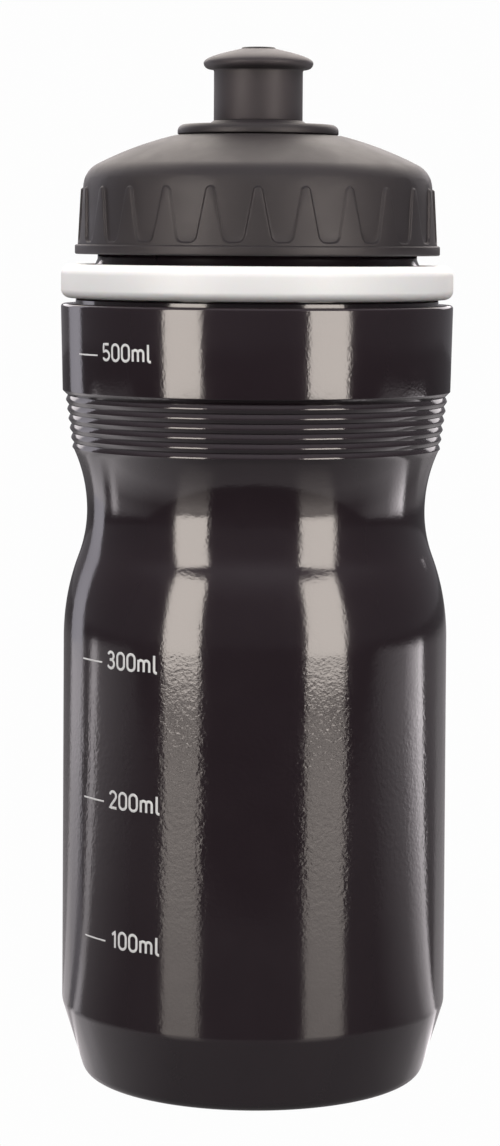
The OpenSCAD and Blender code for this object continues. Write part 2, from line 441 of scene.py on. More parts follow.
# Polypropylene coloured with titanium white, from a smoother mould: satin, slightly warm, and a
# little light goes into it.
BAND_POLYPROPYLENE = Plastic(
    name="moulded_polypropylene_white",
    colours=("#f6f4f0", "#f9f7f4"),
    roughness=(0.48, 0.56),
    ior=1.42,
    wave_mm=(5.0, 0.012),
    grain_mm=(0.35, 0.004),
    subsurface=0.08,
)

# Thermoplastic elastomer over the spout: soft satin black, smoother than the cap, with a faint
# bloom at grazing angles.
SPOUT_ELASTOMER = Plastic(
    name="moulded_elastomer_black",
    colours=("#2a2326", "#30292c"),
    roughness=(0.5, 0.58),
    ior=1.45,
    wave_mm=(4.0, 0.015),
    grain_mm=(0.3, 0.007),
    sheen=0.08,
)

# Silicone rubber of the gasket and the ring seal: pale grey and satin.
SEAL_SILICONE = Plastic(
    name="moulded_silicone_grey",
    colours=("#8c8f8e", "#969998"),
    roughness=(0.42, 0.5),
    ior=1.42,
    wave_mm=(3.0, 0.01),
    grain_mm=(0.3, 0.005),
    subsurface=0.05,
)

# Pad-printed ink: flat white, laid on thinly, so its tone is a little uneven.
MARK_INK = Plastic(
    name="pad_print_ink_white",
    colours=("#dddbd8", "#efeeeb"),
    roughness=(0.45, 0.6),
    ior=1.5,
    wave_mm=(2.0, 0.002),
    grain_mm=(0.3, 0.003),
    patch_mm=0.8,
)


# -------- bottle


@dataclass(frozen=True)
class Bottle:
    """The blow-moulded body: base, wall, waist, ribs, upper band, step and threaded neck."""

    body_r: float = 36.7
    base_edge_z: float = 14.8
    base_edge_round: float = 4.0
    base_taper: float = 16.8
    base_corner: float = 2.6
    foot_in_r: float = 26.5
    push_up: float = 4.0
    waist_start_z: float = 84.0
    waist_r: float = 32.35
    waist_z: float = 108.0
    waist_low_round: float = 24.5
    waist_up_round: float = 28.0
    waist_up_angle: float = 24.5
    rib_count: int = 6
    rib_pitch: float = 1.81
    rib_depth: float = 0.5
    rib_top_z: float = 130.0
    rib_top_r: float = 36.6
    rib_slope: float = 0.14
    rib_steps: int = 16
    rib_power: float = 1.3
    band_low_r: float = 37.1
    band_low_z: float = 130.85
    band_low_round: float = 0.2
    shoulder_r: float = 37.5
    shoulder_z: float = 147.5
    edge_round: float = 0.6
    pedestal_r: float = 34.7
    pedestal_z: float = 148.4
    pedestal_round: float = 0.3
    neck_r: float = 30.8
    neck_top_z: float = 156.9
    stop_r: float = 31.0  # low bead that keeps the ring on the neck
    stop_z: float = 154.95
    thread_root_r: float = 30.3
    thread_crest_r: float = 31.6
    thread_turns: float = 1.75
    rim_z: float = 170.15
    rim_round: float = 0.3
    wall: float = 1.0
    inner_shoulder_round: float = 3.0
    segments: int = 192

    def build(self) -> None:
        """Builds the shell with its neck thread."""
        bm = bmesh.new()
        outline = self.base_dome(0) + self.lower_wall(0) + self.ribs() + self.upper_band()
        lathe(bm, outline + self.neck() + self.inside(), self.segments, closed=False)
        root_r = self.thread_root_r - THREAD_BURY
        Thread(root_r, self.thread_crest_r, THREAD_START_Z, self.thread_turns).add(bm)
        ticket = Ticket("bottle_shell", "bottle", "bottle_polyethylene", ("bottle_body",))
        finish_piece(bm, ticket, BODY_POLYETHYLENE.make())

    def base_dome(self, inset: float) -> list[Point]:
        """Outline of the pushed-up base, from the axis outwards."""
        radius = (self.foot_in_r**2 + self.push_up**2) / (2 * self.push_up)
        half_angle = math.degrees(math.asin(self.foot_in_r / radius))
        dome = arc((0, self.push_up - radius), radius + inset, 90, 90 - half_angle, 10)
        return [(0, dome[0][1]), *dome[1:]]

    def foot_r(self) -> float:
        """Radius at which the flat foot meets the corner."""
        slope = math.radians(self.base_taper)
        drop = self.base_edge_z - self.base_corner
        return self.body_r - drop * math.tan(slope) - self.base_corner / math.cos(slope)

    def lower_wall(self, inset: float) -> list[Point]:
        """Outline from the foot to the top of the waist, set in from the outside."""
        fall = self.waist_z - self.waist_start_z
        steepest = 2 * math.degrees(math.atan((self.body_r - self.waist_r) / fall))
        out_round = fall / math.sin(math.radians(steepest)) - self.waist_low_round
        corner, edge = self.base_corner, self.base_edge_round
        low, up = self.waist_low_round, self.waist_up_round
        return [
            *arc((self.foot_r(), corner), corner - inset, -90, -self.base_taper, 10),
            *arc((self.body_r - edge, self.base_edge_z), edge - inset, -self.base_taper, 0, 8),
            *arc((self.body_r - out_round, self.waist_start_z), out_round - inset, 0, steepest, 16),
            *arc((self.waist_r + low, self.waist_z), low + inset, 179 + steepest, 180, 14),
            *arc((self.waist_r + up, self.waist_z), up + inset, 179, 180 - self.waist_up_angle, 16),
        ]

    def ribs(self) -> list[Point]:
        """Outline of the ribs: narrow crests with sharp grooves between them."""
        low_z = self.rib_top_z - (self.rib_count - 0.5) * self.rib_pitch
        points = []
        for i in range(round((self.rib_count - 0.5) * self.rib_steps) + 1):
            z = low_z + i * self.rib_pitch / self.rib_steps
            crest = self.rib_top_r - self.rib_slope * (self.rib_top_z - z)
            from_crest = 2 * abs(i / self.rib_steps - round(i / self.rib_steps))
            points.append((crest - self.rib_depth * from_crest**self.rib_power, z))
        return points

    def upper_band(self) -> list[Point]:
        """Outline of the band above the ribs, its rounded edge and the step inside it."""
        small = self.band_low_round
        corner = (self.shoulder_r - self.edge_round, self.shoulder_z - self.edge_round)
        step = (self.pedestal_r - self.pedestal_round, self.pedestal_z - self.pedestal_round)
        return [
            *arc((self.band_low_r - small, self.band_low_z + small), small, -60, 0, 4),
            *arc(corner, self.edge_round, 0, 90, 6),
            (self.pedestal_r, self.shoulder_z),
            *arc(step, self.pedestal_round, 0, 90, 4),
        ]

    def neck(self) -> list[Point]:
        """Outline of the neck up to and over its rim."""
        rim = self.rim_z - self.rim_round
        bore = self.thread_root_r - self.wall
        return [
            (self.neck_r, self.pedestal_z),
            (self.neck_r, self.stop_z - 0.3),
            (self.stop_r, self.stop_z),
            (self.neck_r - 0.25, self.stop_z + 1.1),
            (self.neck_r - 0.25, self.neck_top_z),
            (self.thread_root_r, self.neck_top_z + 0.5),
            *arc((self.thread_root_r - self.rim_round, rim), self.rim_round, 0, 90, 4),
            *arc((bore + self.rim_round, rim), self.rim_round, 90, 180, 4),
            (bore, self.shoulder_z - self.wall),
        ]

    def inside(self) -> list[Point]:
        """Outline of the inner wall, from the neck down to the axis."""
        turn = self.inner_shoulder_round
        corner = (self.band_low_r - self.wall - turn, self.shoulder_z - self.wall - turn)
        dome = self.base_dome(self.wall)
        return [
            *arc(corner, turn, 90, 0, 6),
            (self.band_low_r - self.wall - 0.2, self.rib_top_z + 1),
            *reversed(self.lower_wall(self.wall)),
            *reversed(dome),
        ]


# -------- volume marks


class Figure(Enum):
    """Strokes of each printed sign, in a cell one unit high. An arc is (x, y, radius, from, to)."""

    ONE = ("1", 0.5, (((0.1, 0.78), (0.33, 1.0), (0.33, 0.0)),))
    TWO = ("2", 0.68, (((0.3, 0.74, 0.26, 165, -35), (0.03, 0.0), (0.6, 0.0)),))
    THREE = ("3", 0.68, (((0.29, 0.76, 0.24, 160, -80), (0.2, 0.53)), ((0.29, 0.27, 0.27, 85, -160),)))
    FIVE = ("5", 0.68, (((0.54, 1.0), (0.1, 1.0), (0.07, 0.53), (0.29, 0.31, 0.29, 120, -150)),))
    NOUGHT = ("0", 0.7, (((0.32, 0.27, 0.27, 0, -180), (0.32, 0.73, 0.27, 180, 0), (0.59, 0.27)),))
    M = (
        "m",
        0.98,
        (
            ((0.07, 0.0), (0.07, 0.72)),
            ((0.07, 0.45), (0.26, 0.51, 0.19, 165, 0), (0.45, 0.0)),
            ((0.45, 0.45), (0.64, 0.51, 0.19, 165, 0), (0.83, 0.0)),
        ),
    )
    L = ("l", 0.34, (((0.08, 1.05), (0.22, 0.14, 0.14, 180, 270), (0.27, 0.0)),))

    def __init__(self, sign: str, width: float, strokes: tuple) -> None:
        """Keeps the sign, its advance and its strokes."""
        self.sign = sign
        self.width = width
        self.strokes = strokes


@dataclass(frozen=True)
class VolumeMarks:
    """Printed volume marks on the left of the body: a tick and a number at each level."""

    # Each mark's text, its height, and how far round the print has crept, in degrees.
    marks: tuple[tuple[str, float, float], ...] = (
        ("100ml", 29.85, 3.2),
        ("200ml", 55.75, 2.2),
        ("300ml", 81.55, 1.1),
        ("500ml", 138.3, -0.6),
    )
    digit_mm: float = 3.0
    advance: float = 1.07  # widens or narrows the space between signs
    stroke_mm: float = 0.5
    tick_mm: float = 0.3
    tick_from: float = -62.0  # degrees from the front, towards the left
    tick_to: float = -51.5
    text_from: float = -49.0
    text_lift: float = 0.65  # of the numbers' middle above the tick
    film_mm: float = 0.03
    chord_mm: float = 0.5  # longest straight stretch of a stroke
    wall: Bottle = Bottle()

    def build(self) -> None:
        """Builds all the marks as one print."""
        bm = bmesh.new()
        for text, z, creep in self.marks:
            self._add_label(bm, text, z, creep)
        finish_piece(bm, Ticket("volume_marks", "bottle", "band_polypropylene"), MARK_INK.make())

    def surface_r(self, z: float) -> float:
        """Radius of the wall under the print at a height."""
        wall = self.wall
        if z < wall.band_low_z:
            return wall.body_r
        share = (z - wall.band_low_z) / (wall.shoulder_z - wall.band_low_z)
        return wall.band_low_r + (wall.shoulder_r - wall.band_low_r) * share

    def _add_label(self, bm: Mesh, text: str, z: float, creep: float) -> None:
        """Adds one tick and its number."""
        arc_mm = math.radians(1) * self.surface_r(z)
        ticks = [[((end + creep) * arc_mm, 0.0) for end in (self.tick_from, self.tick_to)]]
        self._add_strokes(bm, ticks, self.tick_mm, z)
        pen = (self.text_from + creep) * arc_mm
        strokes = []
        figures = {figure.sign: figure for figure in Figure}
        for sign in text:
            figure = figures[sign]
            for stroke in figure.strokes:
                line = [
                    (pen + x * self.digit_mm * self.advance, (y - 0.5) * self.digit_mm + self.text_lift)
                    for x, y in self._trace(stroke)
                ]
                strokes.append(line)
            pen += (figure.width + 0.1) * self.digit_mm * self.advance
        self._add_strokes(bm, strokes, self.stroke_mm, z)

    def _trace(self, stroke: tuple) -> list[Point]:
        """Turns a stroke's points and arcs into a line of points."""
        line: list[Point] = []
        for part in stroke:
            if len(part) == 2:
                line.append(part)
            else:
                x, y, radius, start, end = part
                line.extend(arc((x, y), radius, start, end, 12))
        return line

    def _add_strokes(self, bm: Mesh, strokes: list[list[Point]], width: float, z: float) -> None:
        """Draws strokes with a round pen, flattens them to a film and wraps them on the wall."""
        curve = bpy.data.curves.new("strokes", "CURVE")
        curve.dimensions = "3D"
        curve.bevel_depth = width / 2
        curve.bevel_resolution = 2
        curve.use_fill_caps = True
        for stroke in strokes:
            spline = curve.splines.new("POLY")
            pieces = self._subdivided(stroke)
            spline.points.add(len(pieces) - 1)
            for point, (x, y) in zip(spline.points, pieces):
                point.co = (x, y, 0, 1)
        holder = link_object("strokes", curve)
        drawn = bmesh.new()
        drawn.from_mesh(holder.evaluated_get(bpy.context.evaluated_depsgraph_get()).to_mesh())
        bpy.data.objects.remove(holder)
        bpy.data.curves.remove(curve)
        for vert in drawn.verts:
            x, y, lift = vert.co
            radius = self.surface_r(z + y) + lift / (width / 2) * self.film_mm
            angle = x / self.surface_r(z)
            vert.co = Vector((math.sin(angle) * radius, -math.cos(angle) * radius, z + y)) * MM
        bmesh.ops.recalc_face_normals(drawn, faces=drawn.faces)
        add_mesh(bm, drawn)

    def _subdivided(self, stroke: list[Point]) -> list[Point]:
        """Adds points along long stretches, so that they follow the wall's curve."""
        pieces = [stroke[0]]
        for start, end in zip(stroke, stroke[1:]):
            count = max(1, math.ceil(math.dist(start, end) / self.chord_mm))
            pieces += between(start, end, count)[1:]
        return pieces


# -------- white ring


@dataclass(frozen=True)
class NeckBand:
    """The loose white ring round the neck: a channel, open below."""

    inner_r: float = 31.1
    outer_r: float = 37.5
    low_z: float = 148.55
    top_z: float = 155.0
    wall: float = 1.5
    round_top: float = 2.0
    round_low: float = 1.7
    segments: int = 192

    def build(self) -> None:
        """Builds the ring."""
        small = 0.4
        channel_in = self.inner_r + self.wall
        channel_out = self.outer_r - self.wall
        channel_top = self.top_z - self.wall
        low_corner = (self.outer_r - self.round_low, self.low_z + self.round_low)
        top_corner = (self.outer_r - self.round_top, self.top_z - self.round_top)
        outline = [
            *arc((self.inner_r + small, self.low_z + small), small, 180, 270, 4),
            (channel_in, self.low_z),
            *arc((channel_in + small, channel_top - small), small, 180, 90, 4),
            *arc((channel_out - small, channel_top - small), small, 90, 0, 4),
            (channel_out, self.low_z + 0.05),
            *arc(low_corner, self.round_low, -80, 0, 12),
            *arc(top_corner, self.round_top, 0, 90, 14),
            *arc((self.inner_r + small, self.top_z - small), small, 90, 180, 4),
        ]
        bm = bmesh.new()
        lathe(bm, outline, self.segments)
        ticket = Ticket("white_ring", "band", "band_polypropylene", ("neck_band",))
        finish_piece(bm, ticket, BAND_POLYPROPYLENE.make())


# -------- screw cap


@dataclass(frozen=True)
class ScrewCap:
    """The black screw cap: flange, skirt with grip pads, dome, chimney, bore and thread."""

    flange_r: float = 34.9
    low_z: float = 156.9
    flange_top_z: float = 158.75
    flange_round: float = 0.35
    skirt_low_r: float = 33.9
    skirt_top_r: float = 33.35
    shoulder_round: float = 5.0
    dome_r: float = 66.6
    dome_z: float = 115.0
    seat_z: float = 179.6
    bore_r: float = 32.05
    land_z: float = 171.65
    lip_r: float = 26.7
    ceiling_r: float = 64.6
    chimney_r: float = 6.3
    chimney_in_r: float = 5.2
    bead_r: float = 6.97
    bead_low_z: float = 187.6
    groove_r: float = 5.8
    groove_low_z: float = 188.4
    groove_top_z: float = 189.8
    chimney_top_z: float = 190.6
    pad_count: int = 24
    pad_rise: float = 0.45
    pad_top_z: float = 169.3
    pad_low_z: float = 159.1
    pad_top_half: float = 0.66
    pad_low_half: float = 2.45
    pad_foot_round: float = 1.65
    pad_slope: float = 0.4  # width of the sloped side of a pad
    half_columns: tuple[int, int, int, int] = (5, 2, 6, 1)  # over the tip, side, foot and floor
    level_rise: float = 1.6  # above the skirt's end, where the rows are level again
    thread_crest_r: float = 30.85
    thread_turns: float = 1.6

    def build(self) -> None:
        """Builds the cap from one pad's wedge, copied round the axis."""
        bm = bmesh.new()
        row_layer = bm.verts.layers.int.new("row")
        rows = self.rows()
        wire = add_wire(bm, [(r, z) for r, z, _ in rows], closed=True)
        for index, vert in enumerate(wire[: len(rows)]):
            vert[row_layer] = index
        low_path, high_path = self.pad_paths()
        columns = len(low_path) - 1
        wedge = math.tau / self.pad_count
        bmesh.ops.spin(bm, geom=wire, angle=wedge, steps=2 * columns, **ROUND_AXIS)
        half_pitch = self.skirt_low_r * wedge / 2
        skirt_end = max(i for i, row in enumerate(rows) if row[2] is not None) + 1
        for vert in bm.verts:
            _, z, share = rows[vert[row_layer]]
            radius = vert.co.xy.length / MM
            step = round(math.atan2(vert.co.y, vert.co.x) / wedge * 2 * columns)
            column = min(step, 2 * columns - step)
            low, high = low_path[column], high_path[column]
            side = (high if vert[row_layer] >= skirt_end else low)[0]
            if share is not None:
                side, z, lift = self.on_skirt(low, high, share)
                radius = self.skirt_r(z) + lift
            angle = wedge * side / half_pitch / 2
            if step > columns:
                angle = wedge - angle
            vert.co = Vector((radius * math.cos(angle), radius * math.sin(angle), z)) * MM
        bmesh.ops.spin(
            bm,
            geom=bm.faces[:] + bm.edges[:] + bm.verts[:],
            angle=wedge * (self.pad_count - 1),
            steps=self.pad_count - 1,
            use_duplicate=True,
            **ROUND_AXIS,
        )
        bmesh.ops.remove_doubles(bm, verts=bm.verts, dist=5 * MERGE)
        quarter = Matrix.Rotation(-math.pi / 2, 3, "Z")
        bmesh.ops.rotate(bm, verts=bm.verts, cent=(0, 0, 0), matrix=quarter)
        start_z = THREAD_START_Z - THREAD_LEAD / 2
        Thread(self.bore_r + THREAD_BURY, self.thread_crest_r, start_z, self.thread_turns).add(bm)
        ticket = Ticket("cap_shell", "cap", "cap_polypropylene", ("screw_cap",))
        finish_piece(bm, ticket, CAP_POLYPROPYLENE.make())

    def skirt_r(self, z: float) -> float:
        """Radius of the skirt between its pads at a height, up on to the shoulder."""
        centre_r, centre_z, _ = self.knee()
        if z >= centre_z:
            return centre_r + math.sqrt(self.shoulder_round**2 - (z - centre_z) ** 2)
        share = (z - self.flange_top_z) / (centre_z - self.flange_top_z)
        return self.skirt_low_r + (self.skirt_top_r - self.skirt_low_r) * share

    def knee(self) -> tuple[float, float, float]:
        """Centre of the shoulder's round, and the angle at which it meets the dome."""
        centre_r = self.skirt_top_r - self.shoulder_round
        reach = self.dome_r - self.shoulder_round
        centre_z = self.dome_z + math.sqrt(reach**2 - centre_r**2)
        return centre_r, centre_z, math.degrees(math.acos(centre_r / reach))

    def pad_paths(self) -> tuple[list[Point], list[Point]]:
        """Edge of a pad's top face and the foot of its sloped side, from its middle outwards."""
        tip_z = self.pad_top_z - self.pad_top_half
        lean = math.degrees(math.atan2(self.pad_low_half - self.pad_top_half, tip_z - self.pad_low_z))
        floor = self.skirt_low_r * math.pi / self.pad_count
        slope = math.radians(lean)
        foot_x = self.pad_low_half + self.pad_foot_round * (1 / math.cos(slope) - math.tan(slope))
        tips, sides, feet, floors = self.half_columns
        paths = []
        for out in (0.0, self.pad_slope):
            tip = arc((0, tip_z), self.pad_top_half + out, 90, lean, tips)
            foot_centre = (foot_x, self.pad_low_z + self.pad_foot_round)
            foot = arc(foot_centre, self.pad_foot_round - out, 180 + lean, 270, feet)
            side = between(tip[-1], foot[0], sides)
            flat = between(foot[-1], (floor, foot[-1][1]), floors)
            paths.append(tip + side[1:-1] + foot + flat[1:])
        return paths[0], paths[1]

    def on_skirt(self, low: Point, high: Point, share: float) -> tuple[float, float, float]:
        """Place on one column of the skirt.

        Args:
            low: where the column crosses the edge of the pad's top face.
            high: where it reaches the foot of the pad's sloped side.
            share: 0 to 1 below the edge, 1 to 2 down the slope, 2 to 3 above it.

        Returns:
            Distance round the skirt, height and rise, in millimetres.
        """
        if share <= 1:
            return low[0], self.flange_top_z + (low[1] - self.flange_top_z) * share, self.pad_rise
        if share <= 2:
            t = share - 1
            side, z = along(low, high, t)
            return side, z, self.pad_rise * (1 - t * t * (3 - 2 * t))
        return high[0], high[1] + (self.skirt_end_z() - high[1]) * (share - 2), 0.0

    def skirt_end_z(self) -> float:
        """Height on the shoulder where the rows are level again."""
        return self.knee()[1] + self.level_rise

    def rows(self) -> list[tuple[float, float, float | None]]:
        """Rows of the cap's section: radius, height, and the share of the skirt for its rows."""
        centre_r, centre_z, knee_angle = self.knee()
        start = math.degrees(math.asin((self.skirt_end_z() - centre_z) / self.shoulder_round))
        small = self.flange_round
        flange_in = self.flange_r - small
        seat_angle = math.degrees(math.asin((self.seat_z - self.dome_z) / self.dome_r))
        ceiling_start = math.degrees(math.acos(self.chimney_in_r * 1.3 / self.ceiling_r))
        ceiling_end = math.degrees(math.acos(self.lip_r / self.ceiling_r))
        below = [
            (self.bore_r, self.low_z),
            *arc((flange_in, self.low_z + small), small, -90, 0, 4),
            *arc((flange_in, self.flange_top_z - small), small, 0, 90, 4),
        ]
        below_edge = [0.001, 0.25, 0.5, 0.75, 1.0]
        on_slope = [1.15, 1.35, 1.65, 1.85, 2.0]
        above_foot = [2.15, 2.35, 2.6, 2.8, 3.0]
        above = [
            *arc((centre_r, centre_z), self.shoulder_round, start, knee_angle, 10)[1:],
            *arc((0, self.dome_z), self.dome_r, knee_angle, seat_angle, 14)[1:],
            (self.chimney_r, self.seat_z),
            (self.chimney_r, self.bead_low_z - 0.5),
            (self.bead_r, self.bead_low_z),
            (self.bead_r, self.groove_low_z),
            (self.groove_r, self.groove_low_z),
            (self.groove_r, self.groove_top_z),
            (self.bead_r, self.groove_top_z),
            (self.bead_r, self.chimney_top_z - 0.5),
            (self.bead_r - 0.5, self.chimney_top_z),
            (self.chimney_in_r, self.chimney_top_z),
            (self.chimney_in_r, self.dome_z + self.ceiling_r - 0.3),
            *arc((0, self.dome_z), self.ceiling_r, ceiling_start, ceiling_end, 10),
            (self.lip_r, self.land_z - 1),
            (self.lip_r + 0.8, self.land_z - 1),
            (self.lip_r + 0.8, self.land_z),
            (self.bore_r, self.land_z),
        ]
        rows: list[tuple[float, float, float | None]] = [(r, z, None) for r, z in below]
        for share in below_edge + on_slope + above_foot:
            rows.append((self.skirt_low_r, self.flange_top_z + share, share))
        return rows + [(r, z, None) for r, z in above]


# -------- spout


@dataclass(frozen=True)
class Spout:
    """The push-pull spout: a rigid finger disc and tube, and a soft mouthpiece over it."""

    disc_r: float = 15.4
    disc_low_z: float = 179.8
    disc_top_z: float = 181.75
    disc_round: float = 1.3
    collar_z: float = 182.5
    collar_flare: float = 0.9
    stem_r: float = 8.5
    core_r: float = 7.75
    core_bore_r: float = 7.05
    core_stop_r: float = 6.38
    core_stop_h: float = 1.5
    core_top_z: float = 190.6
    lip_r: float = 10.5
    lip_low_z: float = 192.3
    lip_z: float = 193.5
    top_z: float = 196.15
    hole_r: float = 3.46
    crown_steps: int = 18
    crown_power: float = 2.2  # 1 makes the crown round, and more makes it flatter
    segments: int = 128

    def build(self) -> None:
        """Builds the disc with its tube, and the mouthpiece."""
        disc = bmesh.new()
        lathe(disc, self.core_outline(), self.segments)
        ticket = Ticket("spout_disc", "nozzle", "cap_polypropylene", ("spout_core",))
        finish_piece(disc, ticket, CAP_POLYPROPYLENE.make())
        mouth = bmesh.new()
        lathe(mouth, self.mouth_outline(), self.segments)
        ticket = Ticket("spout_mouth", "nozzle", "spout_elastomer", ("spout_mouthpiece",))
        finish_piece(mouth, ticket, SPOUT_ELASTOMER.make())

    def core_outline(self) -> list[Point]:
        """Outline of the finger disc, the collar and the sliding tube."""
        flare = self.stem_r + self.collar_flare
        rim = self.disc_round
        rise = self.collar_z - self.disc_top_z
        return [
            (self.core_stop_r, self.disc_low_z),
            *arc((self.disc_r - 0.3, self.disc_low_z + 0.3), 0.3, -90, 0, 4),
            *arc((self.disc_r - rim, self.disc_top_z - rim), rim, 0, 90, 10),
            (flare + 0.15, self.disc_top_z),
            (flare - 0.12, self.disc_top_z + rise * 0.3),
            (self.stem_r + 0.3, self.disc_top_z + rise * 0.75),
            (self.stem_r + 0.06, self.collar_z),
            (self.core_r, self.collar_z),
            (self.core_r, self.core_top_z - 0.4),
            (self.core_r - 0.4, self.core_top_z),
            (self.core_bore_r, self.core_top_z),
            (self.core_bore_r, self.disc_low_z + self.core_stop_h),
            (self.core_stop_r, self.disc_low_z + self.core_stop_h - 0.3),
        ]

    def mouth_outline(self) -> list[Point]:
        """Outline of the mouthpiece: stem, mushroom lip, crown and exit hole."""
        lip_round = self.lip_z - self.lip_low_z
        crown_w = self.lip_r - self.hole_r - 0.3
        crown = []
        for i in range(1, self.crown_steps + 1):
            angle = math.pi / 2 * i / self.crown_steps
            reach = self.hole_r + 0.3 + crown_w * max(0.0, math.cos(angle)) ** self.crown_power
            crown.append((reach, self.lip_z + (self.top_z - self.lip_z) * math.sin(angle)))
        return [
            (self.core_r, self.collar_z),
            *arc((self.stem_r - 0.15, self.collar_z + 0.15), 0.15, -90, 0, 3),
            *arc((self.stem_r + 0.5, self.lip_low_z - 0.5), 0.5, 180, 90, 5),
            *arc((self.lip_r - lip_round, self.lip_z), lip_round, -90, 0, 12),
            *crown,
            *arc((self.hole_r + 0.3, self.top_z - 0.3), 0.3, 90, 180, 4)[1:],
            (self.hole_r, self.lip_z - 0.2),
            (self.core_r - 1.2, self.core_top_z + 0.6),
            (self.core_r - 0.4, self.core_top_z + 0.1),
            (self.core_r, self.core_top_z - 0.3),
        ]


@dataclass(frozen=True)
class InnerFittings:
    """The plug on its post and the two seals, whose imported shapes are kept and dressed."""

    dressed: tuple[tuple[str, Plastic], ...] = (
        ("valve_post", CAP_POLYPROPYLENE),
        ("cap_gasket", SEAL_SILICONE),
        ("spout_seal", SEAL_SILICONE),
    )

    def dress(self, nodes: dict[str, bpy.types.Object]) -> None:
        """Gives each fitting its finish."""
        for name, finish in self.dressed:
            material = finish.make()
            for slot in nodes[name].material_slots:
                slot.material = material
            LOG.info("%s: dressed in %s", name, finish.name)


# -------- studio


class Reach(Enum):
    """Which rays see a light panel: mirror reflections, soft lighting, or both."""

    GLOSS = "gloss"
    SOFT = "soft"
    BOTH = "both"


@dataclass(frozen=True)
class Panel:
    """A flat light panel that stands round the bottle and faces its axis."""

    name: str
    azimuth: float  # degrees from the front, towards the right
    distance: float  # millimetres from the axis
    width: float
    low_z: float
    high_z: float
    brightness: tuple[float, float]  # at its left and right edges, seen from the bottle
    reach: Reach = Reach.GLOSS
    colour: str = "#fff6ee"
    tilt: float = 0.0

    def build(self) -> None:
        """Builds the panel as a glowing sheet that the camera doesn't see."""
        bm = bmesh.new()
        height = self.high_z - self.low_z
        bmesh.ops.create_grid(bm, x_segments=1, y_segments=1, size=0.5)
        bmesh.ops.scale(bm, verts=bm.verts, vec=(self.width * MM, height * MM, 1))
        upright = Matrix.Rotation(math.radians(90 + self.tilt), 3, "X")
        bmesh.ops.rotate(bm, verts=bm.verts, cent=(0, 0, 0), matrix=upright)
        sheet = mesh_object(self.name, bm, self._glow())
        turn = math.radians(self.azimuth)
        x, y = math.sin(turn) * self.distance, -math.cos(turn) * self.distance
        sheet.location = Vector((x, y, (self.low_z + self.high_z) / 2)) * MM
        sheet.rotation_euler = (0, 0, turn)
        sheet.visible_camera = False
        sheet.visible_shadow = False
        sheet.visible_diffuse = self.reach is not Reach.GLOSS
        sheet.visible_glossy = self.reach is not Reach.SOFT

    def _glow(self) -> Material:
        """Makes the panel's light, which may run from dim to bright across its width."""
        material, tree = new_tree(f"{self.name}_glow")
        place = add_node(tree, "TexCoord").outputs["Object"]
        across = add_node(tree, "SeparateXYZ", None, {"Vector": place}).outputs["X"]
        edge = self.width * MM / 2
        strength = add_node(tree, "MapRange", span(-edge, edge, *self.brightness), {"Value": across})
        glow = add_node(tree, "Emission", {"Color": srgb(self.colour)}, {"Strength": strength})
        add_node(tree, "OutputMaterial", None, {"Surface": glow})
        return material


